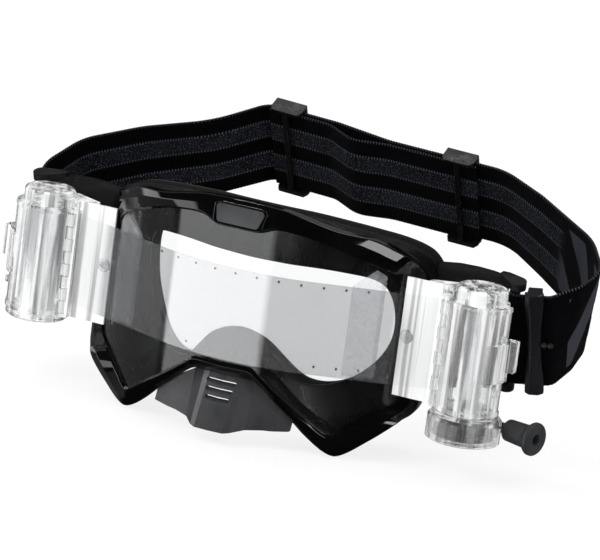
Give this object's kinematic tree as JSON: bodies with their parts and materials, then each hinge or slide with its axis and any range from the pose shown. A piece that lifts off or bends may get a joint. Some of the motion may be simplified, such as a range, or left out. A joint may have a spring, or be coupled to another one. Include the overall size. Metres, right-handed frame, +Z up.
{
  "type": "motocross goggles",
  "caption": "Motocross goggles with a roll-off film system: clear canisters at both sides, a pull handle, triple-layer face foam and an adjustable strap.",
  "frame": {"origin": "middle of the face opening between the canisters, 40 mm behind the lens apex, at the height of the film's centre line", "axes": "+X towards the wearer's left, the pull handle's side; +Y from the lens back to the wearer; +Z up"},
  "size_m": [0.2577, 0.1442, 0.1224],
  "materials": {
    "rim_plastic": "gloss moulded black with soft facet lines",
    "frame_plastic": "fine matte moulded black",
    "lens_clear": "clear polished sheet",
    "seal_rubber": "matte",
    "badge_plastic": "satin black",
    "guard_plastic": "satin dark grey",
    "vent_foam": "open cell mesh",
    "foam": "open cell foam, brown grey",
    "fleece": "brushed",
    "canister_clear": "clear polished, lightly scuffed",
    "pin_clear": "clear, cloudy",
    "spool_plastic": "milky white",
    "film_roll": "wound clear film",
    "film": "clear film",
    "drive_plastic": "moulded black",
    "spring_steel": "blued strip",
    "bush_metal": "turned",
    "cord": "braided black",
    "handle_rubber": "satin dark grey",
    "webbing": "woven elastic with two tonal stripes",
    "slider_plastic": "moulded black"
  },
  "bodies": {
    "frame": {"front_frame": "rim_plastic", "rear_frame": "frame_plastic", "outrigger_left": "frame_plastic", "outrigger_right": "frame_plastic", "lens": "lens_clear", "lens_seal": "seal_rubber", "badge_plate": "badge_plastic", "nose_guard": "guard_plastic", "vent_foam": "vent_foam", "foam_base": "foam", "foam_soft": "foam", "face_fleece": "fleece", "supply_housing": "canister_clear", "supply_hinge_pin": "pin_clear", "supply_cap": "canister_clear", "supply_base": "canister_clear", "takeup_housing": "canister_clear", "takeup_hinge_pin": "pin_clear", "takeup_cap": "canister_clear", "film_strip": "film", "film_guides": "canister_clear", "snap_posts": "pin_clear", "pulley_housing": "canister_clear", "pulley_cover": "canister_clear", "cord_bush": "bush_metal", "anchor_bars": "frame_plastic", "strap_main": "webbing", "strap_tail": "webbing", "strap_keeper": "slider_plastic", "keeper_balls": "badge_plastic"},
    "supply_door": {"supply_door": "canister_clear"},
    "takeup_door": {"takeup_door": "canister_clear"},
    "supply_spool": {"supply_core": "spool_plastic", "supply_roll": "film_roll"},
    "takeup_spool": {"takeup_core": "spool_plastic", "takeup_roll": "film_roll", "ratchet_wheel": "spool_plastic"},
    "pulley": {"return_pulley": "drive_plastic", "return_spring": "spring_steel", "ratchet_pawls": "drive_plastic", "cord_winding": "cord"},
    "handle": {"handle": "handle_rubber", "handle_plug": "badge_plastic", "pull_cord": "cord"},
    "slider_left": {"slider_left": "slider_plastic"},
    "slider_right": {"slider_right": "slider_plastic"}
  },
  "joints": [
    {"name": "handle_pull", "type": "slide", "parent": "frame", "child": "handle", "axis": [0.9455, -0.3256, 0], "range_m": [0, 0.11], "deforming": ["pull_cord"]},
    {"name": "pulley_turn", "type": "hinge", "parent": "frame", "child": "pulley", "pos_m": [0.1, -0.0108, -0.0325], "axis": [0, 0, 1], "range_deg": [-522.9, 0]},
    {"name": "takeup_turn", "type": "hinge", "parent": "frame", "child": "takeup_spool", "pos_m": [0.1, -0.0108, 0], "axis": [0, 0, 1], "range_deg": [-522.9, 0]},
    {"name": "supply_turn", "type": "hinge", "parent": "frame", "child": "supply_spool", "pos_m": [-0.1, -0.0108, 0], "axis": [0, 0, 1], "range_deg": [-298.8, 0]},
    {"name": "takeup_door_hinge", "type": "hinge", "parent": "frame", "child": "takeup_door", "pos_m": [0.08637, -0.01576, 0], "axis": [0, 0, -1], "range_deg": [0, 95]},
    {"name": "supply_door_hinge", "type": "hinge", "parent": "frame", "child": "supply_door", "pos_m": [-0.08637, -0.01576, 0], "axis": [0, 0, 1], "range_deg": [0, 95]},
    {"name": "slider_left_shift", "type": "slide", "parent": "frame", "child": "slider_left", "axis": [-0.999, 0.0401, 0.0213], "range_m": [0, 0.022]},
    {"name": "slider_right_shift", "type": "slide", "parent": "frame", "child": "slider_right", "axis": [0.9975, -0.0622, -0.0331], "range_m": [0, 0.01]}
  ],
  "couplings": [
    {"joint": "pulley_turn", "follows": "handle_pull", "rad_per_m": -82.645},
    {"joint": "takeup_turn", "follows": "handle_pull", "rad_per_m": -82.645},
    {"joint": "supply_turn", "follows": "handle_pull", "rad_per_m": -47.099}
  ]
}
